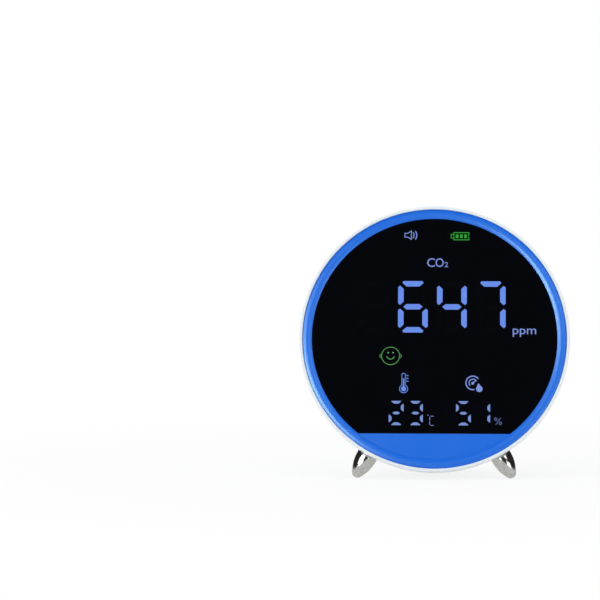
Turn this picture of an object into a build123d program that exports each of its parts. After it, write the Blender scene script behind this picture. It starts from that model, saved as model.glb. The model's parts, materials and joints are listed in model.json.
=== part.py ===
from build123d import *
import os
from math import cos, degrees, hypot, radians, sin, sqrt

# Round desk-top air quality monitor: a white bowl with a blue front ring and a
# D-shaped smoked lens, leaning back on two splayed chrome legs and a rear pad.
# Frame: +Z up, the front faces -Y, origin on the ground under the middle of
# the object's bounding box. Everything is drawn in a plane that leans with the
# body: "depth" runs backwards from the rim plane, "rise" runs up along it.
# Millimetres.

os.makedirs("parts", exist_ok=True)

# ---------------------------------------------------------------- dimensions
# Casing
lean = 15.0                      # degrees that the body leans back
rim_radius = 55.0
rim_band = 2.5                   # straight band behind the rim plane
waist_draw = 3.1                 # how far the side has drawn in half way back
waist_depth = 20.0
tail_draw = 9.8                  # and where it would meet the back plane
body_depth = 44.0
corner_radius = 8.0
wall = 2.2
rim_lip = 1.25                   # white lip seen round the blue ring
edge_round = 0.4
cover_height = 7.0               # rear cover, from its joint with the housing
parting_groove = 0.3             # chamfer on both sides of that joint
tongue_length = 3.0
tongue_wall = 1.4

# Fits
slip = 0.1                       # between pieces that drop into each other
glide = 0.15                     # round pieces that move
screw_clearance = 0.15           # round a screw in its through hole

# Front ring, chin and lens
lens_depth = 1.1                 # lens and chin surface, behind the rim plane
ring_width = 3.95                # from the white lip to the lens
lens_thickness = 1.8
lens_flat = 39.2                 # chord below the centre
lens_corner = 1.0
lens_chamfer = 0.15
tape_thickness = 0.2
tape_margin = 0.3
ring_edge_depth = 0.65           # outer edge of the blue ring, behind the rim plane
ring_inner_depth = 0.8           # inner edge, a small step above the chin
ring_crown_depth = 0.25          # top of its crown
bezel_flange = 1.8
ledge_thickness = 2.0
ledge_width = 3.5
bezel_screw_inset = 0.3          # screw heads from the casing's inner side
bezel_screw_count = 4
bezel_screw_radius = 0.85
bezel_screw_length = 3.7
bezel_head_radius = 1.4
bezel_head_height = 1.2

# Display stack
window_ledge = 2.6               # round the lens's edge
window_chin_ledge = 1.5          # and along its chord
window_side_draw = 3.9           # flat sides of the opening, from its circle
window_corner = 2.0
film_thickness = 0.25
reflector_thickness = 6.25
board_thickness = 1.6
display_board_margin = 1.4       # past the window, all round
display_board_flat_margin = 0.9
display_tab_half_width = 17.0
display_tab_margin = 3.2         # board past the middle of its lower posts
display_post_radius = 2.0
display_screw_radius = 0.8
display_screw_length = 4.5
display_head_radius = 1.7
display_head_height = 1.2
display_post_gap = 0.1           # from the light box
side_post_rise = 6.0
low_post_half_spacing = 12.0
low_post_drop = 4.2              # below the window's chord

# Seven-segment digits: left edge, foot, width, height and stroke of each field
main_digit = (12.2, 21.6, 2.5)
main_digit_pitch = 15.8
main_digit_count = 4
main_digit_start = (-30.6, 2.4)
small_digit = (6.4, 10.8, 1.6)
small_digit_rise = 3.1           # foot of the small digits, above the lens's chord
small_digit_lefts = [-18.9, -11.1, 8.5, 16.4]
segment_gap = 0.35
led_size = (1.2, 0.7, 0.6)
icon_wells = [(-9.5, 43.0, 5.6, 3.6), (10.5, 42.5, 7.4, 3.4), (1.2, 31.7, 8.8, 3.8),
              (36.3, 2.9, 9.8, 3.8), (-17.4, -7.3, 8.2, 7.6), (-0.5, -7.3, 8.2, 7.6),
              (16.4, -7.3, 8.2, 7.6)]
low_icon_wells = [(-12.3, 21.0, 4.4, 8.8), (16.6, 20.2, 7.0, 7.4)]   # rise from the chord
icon_corner = 0.7

# Main board on the rear cover
main_board_size = (50.0, 66.0)
main_board_middle = -5.0
main_board_corner = 4.0
rear_gap = 9.8                   # rear cover to board, room for sensor and keys
main_posts = [(21.5, 24), (-21.5, 24), (21.5, -33), (-21.5, -33)]
main_post_radius = 2.8
main_screw_radius = 1.25
main_screw_length = 7.0
main_head_radius = 2.2
main_head_height = 1.4

# Parts on the boards: (x, rise, width, height, thickness)
board_chips = [(-17, -10, 7, 7, 1.2), (16, -10, 5, 4, 1.2), (16, -33, 4, 4, 3.0)]
capacitor_place = (-13, -32.5)
capacitor_radius = 2.5
capacitor_height = 5.4
driver_chip = (10.0, 6.0, 1.5)
driver_spacing = 28.0
small_chip = (3.2, 1.6, 0.8)

# Battery
battery_size = (34.0, 50.0, 8.0)
battery_round = 2.5
battery_corner = 1.5
battery_middle = -6.0
battery_pad_size = (26.0, 40.0, 1.0)
lead_radius = 0.6
lead_spacing = 1.6
lead_start = (-8.0, 22.4)
lead_bend = 2.4
lead_end_x = -20.6
battery_socket_size = (6.4, 7.0, 5.0)
battery_socket_rise = 7.0

# Ribbon between the two boards
ribbon_width = 12.0
ribbon_thickness = 0.3
ribbon_socket_size = (14.0, 3.0, 2.0)
ribbon_socket_rise = 25.0
ribbon_straight = 3.5

# Air path: vent, gauze and sensors
vent_rise = 9.0
vent_slot = 1.8
vent_first_ring = 5.0
vent_ring_pitch = 4.0
vent_rings = 5
vent_spokes = 6
vent_spoke_width = 2.4
gauze_margin = 1.2
gauze_thickness = 0.4
sensor_board_size = (33.0, 20.0, 1.0)
sensor_can_size = (30.0, 18.0, 6.6)
can_corner = 1.5
can_round = 0.6
sensor_filter_size = (15.0, 7.0, 0.3)
sensor_header_size = (2.5, 12.7, 1.0)
sensor_header_margin = 0.5       # from the ends of the sensor's board
climate_sensor_size = (3.0, 3.0, 1.0)
climate_sensor_place = (20.0, 14.0)
heat_slot = (8.0, 1.2)            # cut that keeps the board's warmth off the sensor
heat_slot_offset = 3.2
buzzer_radius = 6.0
buzzer_height = 5.4
buzzer_rise = -9.0
buzzer_hole = 1.0

# Keys
key_pitch = 15.0
key_rise = -22.0
key_radius = 3.5
key_proud = 0.8
key_travel = 0.5
key_flange = 1.0
key_flange_thickness = 0.8
key_stem_radius = 1.6
key_round = 0.5
key_guide_wall = 1.0
key_guide_length = 3.2
switch_size = (6.2, 6.2, 3.5)
switch_well = 2.4
plunger_radius = 1.7
plunger_height = 1.1             # proud of the switch at rest

# USB socket
usb_rise = -32.5
usb_size = (8.94, 3.26)
usb_corner = 1.2
usb_metal = 0.3
usb_setback = 1.6                # mouth, behind the casing surface
usb_pocket = (12.6, 6.8)
usb_pocket_corner = 2.4
usb_floor = 1.6
usb_base_depth = 3.0
usb_tongue = (6.69, 0.7)
usb_tongue_setback = 0.5

# Case screws
case_screw_inset = 9.2           # from where the side would meet the back
case_screw_angles = [30, 150, 210, 330]
case_screw_radius = 1.25
case_screw_length = 11.0
case_head_radius = 2.3
case_head_height = 1.6
case_recess_depth = 3.0
case_boss_radius = 3.4
case_boss_length = 17.0
case_post_radius = 4.2
rib_thickness = 1.6

# Legs and rear pad
leg_angle = 30.0                 # splay from straight down
leg_depth = 9.8
leg_radius = 4.3
leg_sunk = 3.5                   # how far the leg reaches into the casing
leg_nose_length = 10.4           # its bullet-shaped end, from the casing's surface
leg_boss_wall = 0.75
leg_boss_floor = 2.3             # under the leg's inner end
leg_screw_radius = 1.5
leg_screw_reach = 6.0
leg_head_radius = 2.5
leg_head_height = 1.7
foot_width = 16.0
foot_length = 5.5
foot_corner = 2.0
foot_gap = 0.6                   # behind the joint of the casing
foot_round = 0.4

# ------------------------------------------------------------ derived places
waist_radius = rim_radius - waist_draw
tail_radius = rim_radius - tail_draw


def side_points(inset):
    """Three (radius, depth) points of the casing's arched side, drawn in by inset."""
    return ((rim_radius - inset, rim_band), (waist_radius - inset, waist_depth),
            (tail_radius - inset, body_depth - inset))


def casing_radius(depth, inset):
    """Radius of the casing's side at a depth: the circle through its three points."""
    (r1, d1), (r2, d2), (r3, d3) = side_points(inset)
    det = 2 * (r1 * (d2 - d3) + r2 * (d3 - d1) + r3 * (d1 - d2))
    q1, q2, q3 = r1**2 + d1**2, r2**2 + d2**2, r3**2 + d3**2
    middle_r = (q1 * (d2 - d3) + q2 * (d3 - d1) + q3 * (d1 - d2)) / det
    middle_d = (q1 * (r3 - r2) + q2 * (r1 - r3) + q3 * (r2 - r1)) / det
    arc_radius = hypot(r1 - middle_r, d1 - middle_d)
    return middle_r + sqrt(arc_radius**2 - (depth - middle_d)**2)


lean_sin = sin(radians(lean))
lean_cos = cos(radians(lean))
parting_depth = body_depth - cover_height

# Legs stand on the casing's surface; each screw is driven from inside.
leg_surface = casing_radius(leg_depth, 0)
leg_root = leg_surface - leg_sunk
leg_boss_start = leg_root - leg_boss_floor
leg_boss_radius = leg_radius + leg_boss_wall

# Height of the rim's centre: the lowest point of a leg's half-ellipsoid nose
# touches the ground.
leg_down = cos(radians(leg_angle)) * lean_cos
nose_reach = hypot(leg_nose_length * leg_down, leg_radius * sqrt(1 - leg_down**2))
rim_height = leg_surface * leg_down + leg_depth * lean_sin + nose_reach

# The bounding box runs from the rim's lowest point to the back's upper corner.
front_reach = rim_radius * lean_sin
back_reach = ((tail_radius - corner_radius + wall) * lean_sin
              + (body_depth - corner_radius) * lean_cos + corner_radius)
rim_y = (front_reach - back_reach) / 2

face = Plane(origin=(0, rim_y, rim_height), x_dir=(1, 0, 0), z_dir=(0, -lean_cos, lean_sin))
side_plane = Plane(origin=face.origin, x_dir=(1, 0, 0), z_dir=-face.y_dir)
long_plane = Plane(origin=face.origin, x_dir=face.y_dir, z_dir=(1, 0, 0))
body_axis = Axis(face.origin, face.z_dir)
rise_axis = Axis(face.origin, face.y_dir)

seat_depth = lens_depth + lens_thickness + tape_thickness
ledge_depth = seat_depth + bezel_flange
seat_radius = rim_radius - rim_lip
bezel_radius = seat_radius - slip
lens_radius = seat_radius - ring_width
window_radius = lens_radius - window_ledge
window_half_width = window_radius - window_side_draw
window_flat = lens_flat - window_chin_ledge
screw_seat = ledge_depth + ledge_thickness
bezel_screw_circle = (casing_radius(screw_seat + bezel_head_height, wall) - bezel_head_radius
                      - bezel_screw_inset)
side_post_x = window_half_width + display_post_radius + display_post_gap
low_post_rise = -(window_flat + low_post_drop)
display_posts = [(side_post_x, side_post_rise), (-side_post_x, side_post_rise),
                 (low_post_half_spacing, low_post_rise), (-low_post_half_spacing, low_post_rise)]
small_digit_foot = small_digit_rise - lens_flat
icon_wells += [(x, rise - lens_flat, width, height) for x, rise, width, height in low_icon_wells]
display_board_radius = window_radius + display_board_margin
display_board_flat = window_flat + display_board_flat_margin
display_tab_reach = display_tab_margin - low_post_rise
film_depth = lens_depth + lens_thickness
reflector_depth = film_depth + film_thickness
display_board_depth = reflector_depth + reflector_thickness
display_back = display_board_depth + board_thickness
cover_depth = body_depth - wall
main_board_back = cover_depth - rear_gap
main_board_front = main_board_back - board_thickness
battery_back = main_board_front - battery_pad_size[2]
key_top = body_depth + key_proud
flange_back = cover_depth - slip
flange_front = flange_back - key_flange_thickness
switch_back = main_board_back + switch_size[2]
plunger_back = switch_back + plunger_height
usb_mouth = body_depth - usb_setback
vent_radius = vent_first_ring + (vent_rings - 1) * vent_ring_pitch + vent_slot / 2
case_post_front = parting_depth
case_screw_circle = tail_radius - case_screw_inset
case_boss_start = parting_depth - case_boss_length
case_head_depth = body_depth - case_recess_depth


def at(depth):
    """Plane parallel to the rim, depth behind it, facing forwards."""
    return face.offset(-depth)


def casing_form(inset):
    """Solid form of the whole casing, drawn in by inset."""
    rim, waist, tail = [(radius, -depth) for radius, depth in side_points(inset)]
    with BuildSketch() as section:
        with BuildLine():
            Polyline((0, tail[1]), (0, 0), (rim[0], 0), rim)
            ThreePointArc(rim, waist, tail)
            Line(tail, (0, tail[1]))
        make_face()
        fillet(section.vertices().sort_by_distance(tail)[0], corner_radius - inset)
    with BuildPart() as form:
        with BuildSketch(side_plane):
            add(section.sketch)
        revolve(axis=body_axis)
    return form.part


def lens_outline(grow):
    """D-shaped outline of the lens, grown by a clearance."""
    with BuildSketch() as outline:
        Circle(lens_radius + grow)
        with Locations((0, -lens_flat - grow)):
            Rectangle(3 * lens_radius, lens_radius, align=(Align.CENTER, Align.MAX),
                      mode=Mode.SUBTRACT)
        fillet(outline.vertices(), lens_corner)
    return outline.sketch


def window_outline(shrink):
    """Outline of the opening behind the lens, drawn in by a clearance."""
    with BuildSketch() as outline:
        Circle(window_radius - shrink)
        Rectangle(2 * (window_half_width - shrink), 3 * window_radius, mode=Mode.INTERSECT)
        with Locations((0, -window_flat + shrink)):
            Rectangle(3 * window_radius, window_radius, align=(Align.CENTER, Align.MAX),
                      mode=Mode.SUBTRACT)
        fillet(outline.vertices(), window_corner)
    return outline.sketch


def vent_outline():
    """Rings of arched slots between spokes, round a small middle hole."""
    with BuildSketch() as outline:
        Circle(vent_slot / 2)
        for ring in range(vent_rings):
            radius = vent_first_ring + ring * vent_ring_pitch
            gap = degrees((vent_spoke_width + vent_slot) / radius)
            arc = CenterArc((0, 0), radius, gap / 2, 360 / vent_spokes - gap, mode=Mode.PRIVATE)
            with PolarLocations(0, vent_spokes):
                SlotArc(arc, vent_slot)
    return outline.sketch


def segment_shapes(left, foot, size):
    """The seven segments of one digit, each as the points of its outline."""
    width, height, stroke = size
    half = stroke / 2
    bar = width - stroke - 2 * segment_gap
    post = (height - stroke) / 2 - 2 * segment_gap
    middle = left + width / 2
    shapes = []
    for level in (0, 1, 2):
        y = foot + half + level * (height - stroke) / 2
        shapes.append([(middle - bar / 2, y), (middle - bar / 2 + half, y + half),
                       (middle + bar / 2 - half, y + half), (middle + bar / 2, y),
                       (middle + bar / 2 - half, y - half), (middle - bar / 2 + half, y - half)])
    for level in (0, 1):
        y = foot + half + (level + 0.5) * (height - stroke) / 2
        for x in (left + half, left + width - half):
            shapes.append([(x, y + post / 2), (x + half, y + post / 2 - half),
                           (x + half, y - post / 2 + half), (x, y - post / 2),
                           (x - half, y - post / 2 + half), (x - half, y + post / 2 - half)])
    return shapes


def all_segments():
    """Outlines of every segment of the four large and four small digits."""
    shapes = []
    for index in range(main_digit_count):
        left = main_digit_start[0] + index * main_digit_pitch
        shapes += segment_shapes(left, main_digit_start[1], main_digit)
    for left in small_digit_lefts:
        shapes += segment_shapes(left, small_digit_foot, small_digit)
    return shapes


def block(place, size, back):
    """Box on the leaning body: middle (x, rise), size (x, rise, thickness), rear face at back."""
    with BuildPart() as solid:
        with BuildSketch(at(back)):
            with Locations(place):
                Rectangle(size[0], size[1])
        extrude(amount=size[2])
    return solid


def pin(places, radius, front, back):
    """Round bars along the body's axis from one depth to another."""
    with BuildPart() as solid:
        with BuildSketch(at(back)):
            with Locations(places):
                Circle(radius)
        extrude(amount=back - front)
    return solid


def leg_direction(sign):
    return face.x_dir * (sign * sin(radians(leg_angle))) - face.y_dir * cos(radians(leg_angle))


def across_leg(sign, distance):
    """Plane square to a leg, at a distance from the body's axis, facing the leg's tip."""
    out = leg_direction(sign)
    return Plane(origin=at(leg_depth).origin + out * distance, x_dir=face.z_dir, z_dir=out)


def outer_edge_at(builder, depth):
    """The longest edge of a part that lies at a depth."""
    level = [edge for edge in builder.edges()
             if abs((edge.center(CenterOf.BOUNDING_BOX) - at(depth).origin).dot(face.z_dir)) < slip]
    return max(level, key=lambda edge: edge.length)


def save(builder, label):
    builder.part.label = label
    export_step(builder.part, f"parts/{label}.step")


outer_form = casing_form(0)
inner_form = casing_form(wall)
vent_slots = vent_outline()
case_screw_places = [(case_screw_circle * cos(radians(a)), case_screw_circle * sin(radians(a)))
                     for a in case_screw_angles]

# -------------------------------------------------------------------- housing
# White bowl, open at both ends: seat and ledge for the front ring, sockets for
# the legs and ribbed bosses for the case screws.
with BuildPart() as housing:
    add(outer_form)
    add(inner_form, mode=Mode.SUBTRACT)
    split(bisect_by=at(parting_depth), keep=Keep.TOP)
    with BuildSketch(at(screw_seat)):
        Circle(rim_radius - wall / 2)
        Circle(rim_radius - wall - ledge_width, mode=Mode.SUBTRACT)
    extrude(amount=ledge_thickness)
    for sign in (-1, 1):
        with BuildSketch(across_leg(sign, leg_boss_start)):
            Circle(leg_boss_radius)
        extrude(amount=rim_radius - leg_boss_start)
    with BuildSketch(at(parting_depth)):
        with Locations(case_screw_places):
            Circle(case_boss_radius)
    extrude(amount=parting_depth - case_boss_start)
    rib_back = parting_depth - tongue_length - 2 * slip
    with BuildSketch(at(rib_back)):
        for angle in case_screw_angles:
            with PolarLocations(case_screw_circle, 1, angle):
                Rectangle(rim_radius - case_screw_circle, rib_thickness,
                          align=(Align.MIN, Align.CENTER))
    extrude(amount=rib_back - case_boss_start)
    add(outer_form, mode=Mode.INTERSECT)
    with BuildSketch(at(ledge_depth)):
        Circle(seat_radius)
    extrude(amount=ledge_depth, mode=Mode.SUBTRACT)
    with BuildSketch(at(screw_seat)):
        with PolarLocations(bezel_screw_circle, bezel_screw_count):
            Circle(bezel_screw_radius + screw_clearance)
    extrude(amount=ledge_thickness, mode=Mode.SUBTRACT)
    for sign in (-1, 1):
        with BuildSketch(across_leg(sign, leg_root)):
            Circle(leg_radius + slip)
        extrude(amount=rim_radius, mode=Mode.SUBTRACT)
        with BuildSketch(across_leg(sign, leg_boss_start)):
            Circle(leg_screw_radius + screw_clearance)
        extrude(amount=rim_radius, mode=Mode.SUBTRACT)
    with BuildSketch(at(parting_depth)):
        with Locations(case_screw_places):
            Circle(case_screw_radius)
    extrude(amount=case_screw_length - (case_head_depth - parting_depth), mode=Mode.SUBTRACT)
    rim_edges = housing.edges().filter_by(GeomType.CIRCLE).sort_by(body_axis)[-2:]
    fillet(rim_edges, edge_round)
    chamfer(outer_edge_at(housing, parting_depth), parting_groove)
save(housing, "housing")

# --------------------------------------------------------------------- bezel
# Blue front ring with its convex crown, the flat chin, the seat of the lens
# and the posts that carry the display board.
with BuildPart() as front_bezel:
    with BuildSketch(at(ledge_depth)):
        Circle(bezel_radius)
    extrude(amount=ledge_depth - lens_depth)
    with BuildSketch(side_plane):
        with BuildLine():
            inner = lens_radius + slip
            ThreePointArc((inner, -ring_inner_depth),
                          ((inner + bezel_radius) / 2, -ring_crown_depth),
                          (bezel_radius, -ring_edge_depth))
            Polyline((bezel_radius, -ring_edge_depth), (bezel_radius, -seat_depth),
                     (inner, -seat_depth), (inner, -ring_inner_depth))
        make_face()
    revolve(axis=body_axis)
    with BuildSketch(at(seat_depth)):
        add(lens_outline(slip))
    extrude(amount=seat_depth - lens_depth, mode=Mode.SUBTRACT)
    with BuildSketch(at(ledge_depth)):
        add(window_outline(0))
    extrude(amount=bezel_flange, mode=Mode.SUBTRACT)
    with BuildSketch(at(display_board_depth)):
        with Locations(display_posts):
            Circle(display_post_radius)
    extrude(amount=display_board_depth - ledge_depth)
    with BuildSketch(at(display_board_depth)):
        with Locations(display_posts):
            Circle(display_screw_radius)
    extrude(amount=display_screw_length - board_thickness, mode=Mode.SUBTRACT)
    with BuildSketch(at(ledge_depth)):
        with PolarLocations(bezel_screw_circle, bezel_screw_count):
            Circle(bezel_screw_radius)
    extrude(amount=bezel_screw_length - ledge_thickness, mode=Mode.SUBTRACT)
save(front_bezel, "front_bezel")

with BuildPart() as bezel_screws:
    with BuildSketch(at(screw_seat)):
        with PolarLocations(bezel_screw_circle, bezel_screw_count):
            Circle(bezel_screw_radius)
    extrude(amount=bezel_screw_length)
    with BuildSketch(at(screw_seat + bezel_head_height)):
        with PolarLocations(bezel_screw_circle, bezel_screw_count):
            Circle(bezel_head_radius)
    extrude(amount=bezel_head_height)
save(bezel_screws, "bezel_screws")

# ---------------------------------------------------------------------- lens
with BuildPart() as lens:
    with BuildSketch(at(film_depth)):
        add(lens_outline(0))
    extrude(amount=lens_thickness)
    chamfer(lens.faces().sort_by(body_axis)[-1].edges(), lens_chamfer)
save(lens, "lens")

with BuildPart() as lens_tape:
    with BuildSketch(at(seat_depth)):
        add(lens_outline(-tape_margin))
        add(window_outline(-tape_margin), mode=Mode.SUBTRACT)
    extrude(amount=tape_thickness)
save(lens_tape, "lens_tape")

# ------------------------------------------------------------- display stack
with BuildPart() as display_film:
    with BuildSketch(at(reflector_depth)):
        add(window_outline(glide))
    extrude(amount=film_thickness)
save(display_film, "display_film")

# Light box: one well for every segment and icon, open to the board behind.
with BuildPart() as display_reflector:
    with BuildSketch(at(display_board_depth)):
        add(window_outline(glide))
        for points in all_segments():
            with BuildLine():
                Polyline(points, close=True)
            make_face(mode=Mode.SUBTRACT)
        for x, rise, width, height in icon_wells:
            with Locations((x, rise)):
                RectangleRounded(width, height, icon_corner, mode=Mode.SUBTRACT)
    extrude(amount=reflector_thickness)
save(display_reflector, "display_reflector")

with BuildPart() as display_board:
    with BuildSketch(at(display_back)):
        Circle(display_board_radius)
        with Locations((0, -display_board_flat)):
            Rectangle(3 * display_board_radius, display_board_radius,
                      align=(Align.CENTER, Align.MAX), mode=Mode.SUBTRACT)
        with Locations((0, -display_tab_reach)):
            Rectangle(2 * display_tab_half_width, display_tab_reach,
                      align=(Align.CENTER, Align.MIN))
        with Locations(display_posts):
            Circle(display_screw_radius + screw_clearance, mode=Mode.SUBTRACT)
    extrude(amount=board_thickness)
save(display_board, "display_board")

with BuildPart() as display_leds:
    middles = []
    for points in all_segments():
        middles.append((sum(p[0] for p in points) / 6, sum(p[1] for p in points) / 6,
                        0 if points[0][1] == points[3][1] else 90))
    middles += [(x, rise, 0) for x, rise, width, height in icon_wells]
    with BuildSketch(at(display_board_depth)):
        for x, rise, turn in middles:
            with Locations((x, rise)):
                Rectangle(led_size[0], led_size[1], rotation=turn)
    extrude(amount=led_size[2])
save(display_leds, "display_leds")

with BuildPart() as display_screws:
    with BuildSketch(at(display_back)):
        with Locations(display_posts):
            Circle(display_screw_radius)
    extrude(amount=display_screw_length)
    with BuildSketch(at(display_back + display_head_height)):
        with Locations(display_posts):
            Circle(display_head_radius)
    extrude(amount=display_head_height)
save(display_screws, "display_screws")

# Driver chips and small parts behind the display board
with BuildPart() as display_chips:
    with BuildSketch(at(display_back + driver_chip[2])):
        with GridLocations(driver_spacing, 1, 2, 1):
            Rectangle(driver_chip[0], driver_chip[1])
    extrude(amount=driver_chip[2])
    with BuildSketch(at(display_back + small_chip[2])):
        with GridLocations(driver_spacing, driver_spacing, 2, 2):
            Rectangle(small_chip[0], small_chip[1])
    extrude(amount=small_chip[2])
save(display_chips, "display_chips")

# ---------------------------------------------------------------- main board
with BuildPart() as main_board:
    with BuildSketch(at(main_board_back)):
        with Locations((0, main_board_middle)):
            RectangleRounded(*main_board_size, main_board_corner)
        with Locations(main_posts):
            Circle(main_screw_radius + screw_clearance, mode=Mode.SUBTRACT)
        with Locations((climate_sensor_place[0] - heat_slot_offset, climate_sensor_place[1])):
            SlotOverall(heat_slot[0], heat_slot[1], rotation=90, mode=Mode.SUBTRACT)
    extrude(amount=board_thickness)
save(main_board, "main_board")

with BuildPart() as main_board_screws:
    with BuildSketch(at(main_board_front)):
        with Locations(main_posts):
            Circle(main_head_radius)
    extrude(amount=main_head_height)
    with BuildSketch(at(main_board_front + main_screw_length)):
        with Locations(main_posts):
            Circle(main_screw_radius)
    extrude(amount=main_screw_length)
save(main_board_screws, "main_board_screws")

with BuildPart() as main_board_chips:
    for x, rise, width, height, thickness in board_chips:
        with BuildSketch(at(main_board_back + thickness)):
            with Locations((x, rise)):
                Rectangle(width, height)
        extrude(amount=thickness)
    with BuildSketch(at(main_board_back + capacitor_height)):
        with Locations(capacitor_place):
            Circle(capacitor_radius)
    extrude(amount=capacitor_height)
save(main_board_chips, "main_board_chips")

# ------------------------------------------------------------ ribbon and leads
with BuildPart() as ribbon_sockets:
    width, height, thickness = ribbon_socket_size
    for back in (display_back + thickness, main_board_front):
        with BuildSketch(at(back)):
            with Locations((0, ribbon_socket_rise)):
                Rectangle(width, height)
        extrude(amount=thickness)
save(ribbon_sockets, "ribbon_sockets")

with BuildPart() as ribbon_cable:
    low = ribbon_socket_rise + ribbon_socket_size[1] / 2
    turn = low + ribbon_straight
    near = -(display_back + ribbon_socket_size[2] / 2)
    far = -(main_board_front - ribbon_socket_size[2] / 2)
    with BuildSketch(long_plane.offset(-ribbon_width / 2)):
        with BuildLine():
            Line((low, near), (turn, near))
            ThreePointArc((turn, near), (turn + (near - far) / 2, (near + far) / 2), (turn, far))
            Line((turn, far), (low, far))
        trace(line_width=ribbon_thickness)
    extrude(amount=ribbon_width)
save(ribbon_cable, "ribbon_cable")

# ------------------------------------------------------------------- battery
with BuildPart() as battery_cell:
    width, height, thickness = battery_size
    with BuildSketch(at(battery_back)):
        with Locations((0, battery_middle)):
            RectangleRounded(width, height, battery_corner)
    extrude(amount=thickness)
    fillet(battery_cell.edges().filter_by(rise_axis), battery_round)
save(battery_cell, "battery_cell")

battery_pad = block((0, battery_middle), battery_pad_size, main_board_front)
save(battery_pad, "battery_pad")

battery_socket = block((lead_end_x, battery_socket_rise), battery_socket_size, main_board_front)
save(battery_socket, "battery_socket")

lead_depth = battery_back - battery_size[2] / 2
for name, side in (("battery_lead_red", 1), ("battery_lead_black", -1)):
    shift = side * lead_spacing / 2
    start = (lead_start[0] + shift, battery_middle + battery_size[1] / 2)
    end = (lead_end_x - shift, battery_socket_rise + battery_socket_size[1] / 2)
    level = lead_start[1] + shift
    with BuildPart() as lead:
        with BuildLine(at(lead_depth)) as route:
            FilletPolyline(start, (start[0], level), (end[0], level), end,
                           radius=lead_bend + shift)
        with BuildSketch(Plane(origin=route.line @ 0, z_dir=route.line % 0)):
            Circle(lead_radius)
        sweep()
    save(lead, name)

# ----------------------------------------------------------------- CO2 sensor
sensor_board_back = main_board_back + sensor_header_size[2] + sensor_board_size[2]
can_back = sensor_board_back + sensor_can_size[2]
header_pitch = sensor_board_size[0] - sensor_header_size[0] - 2 * sensor_header_margin
with BuildPart() as co2_sensor_pins:
    with BuildSketch(at(main_board_back + sensor_header_size[2])):
        with Locations((0, vent_rise)):
            with GridLocations(header_pitch, 1, 2, 1):
                Rectangle(sensor_header_size[0], sensor_header_size[1])
    extrude(amount=sensor_header_size[2])
save(co2_sensor_pins, "co2_sensor_pins")

co2_sensor_board = block((0, vent_rise), sensor_board_size, sensor_board_back)
save(co2_sensor_board, "co2_sensor_board")

with BuildPart() as co2_sensor_can:
    with BuildSketch(at(can_back)):
        with Locations((0, vent_rise)):
            RectangleRounded(sensor_can_size[0], sensor_can_size[1], can_corner)
    extrude(amount=sensor_can_size[2])
    fillet(co2_sensor_can.faces().sort_by(body_axis)[0].edges(), can_round)
save(co2_sensor_can, "co2_sensor_can")

with BuildPart() as co2_sensor_filter:
    with BuildSketch(at(can_back + sensor_filter_size[2])):
        with Locations((0, vent_rise)):
            SlotOverall(sensor_filter_size[0], sensor_filter_size[1])
    extrude(amount=sensor_filter_size[2])
save(co2_sensor_filter, "co2_sensor_filter")

climate_sensor = block(climate_sensor_place, climate_sensor_size,
                       main_board_back + climate_sensor_size[2])
save(climate_sensor, "climate_sensor")

with BuildPart() as buzzer:
    buzzer_back = main_board_back + buzzer_height
    with BuildSketch(at(buzzer_back)):
        with Locations((0, buzzer_rise)):
            Circle(buzzer_radius)
    extrude(amount=buzzer_height)
    with BuildSketch(at(buzzer_back)):
        with Locations((0, buzzer_rise)):
            Circle(buzzer_hole)
    extrude(amount=buzzer_height / 2, mode=Mode.SUBTRACT)
save(buzzer, "buzzer")

# ------------------------------------------------------------------ USB socket
with BuildPart() as usb_shell:
    with BuildSketch(at(usb_mouth)):
        with Locations((0, usb_rise)):
            RectangleRounded(usb_size[0], usb_size[1], usb_corner)
            RectangleRounded(usb_size[0] - 2 * usb_metal, usb_size[1] - 2 * usb_metal,
                             usb_corner - usb_metal, mode=Mode.SUBTRACT)
    extrude(amount=usb_mouth - main_board_back)
save(usb_shell, "usb_shell")

with BuildPart() as usb_contacts:
    with BuildSketch(at(main_board_back + usb_base_depth)):
        with Locations((0, usb_rise)):
            RectangleRounded(usb_size[0] - 2 * usb_metal, usb_size[1] - 2 * usb_metal,
                             usb_corner - usb_metal)
    extrude(amount=usb_base_depth)
    with BuildSketch(at(usb_mouth - usb_tongue_setback)):
        with Locations((0, usb_rise)):
            Rectangle(usb_tongue[0], usb_tongue[1])
    extrude(amount=usb_mouth - usb_tongue_setback - main_board_back)
save(usb_contacts, "usb_contacts")

# ------------------------------------------------------------------- keys
key_places = {"power": -key_pitch, "mode": 0, "alarm": key_pitch}
with BuildPart() as switch_bodies:
    with BuildSketch(at(switch_back)):
        with Locations([(x, key_rise) for x in key_places.values()]):
            Rectangle(switch_size[0], switch_size[1])
    extrude(amount=switch_size[2])
    with BuildSketch(at(switch_back)):
        with Locations([(x, key_rise) for x in key_places.values()]):
            Circle(plunger_radius + glide)
    extrude(amount=switch_well, mode=Mode.SUBTRACT)
save(switch_bodies, "switch_bodies")

for name, x in key_places.items():
    place = (x, key_rise)
    with BuildPart() as key:
        for radius, front, back in ((key_stem_radius, plunger_back, flange_front),
                                    (key_radius + key_flange, flange_front, flange_back),
                                    (key_radius, flange_back, key_top)):
            with BuildSketch(at(back)):
                with Locations(place):
                    Circle(radius)
            extrude(amount=back - front)
        fillet(key.edges().filter_by(GeomType.CIRCLE).sort_by(body_axis)[0], key_round)
    save(key, f"{name}_button")
    plunger = pin(place, plunger_radius, switch_back - switch_well + key_travel + slip,
                  plunger_back)
    save(plunger, f"{name}_plunger")

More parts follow.
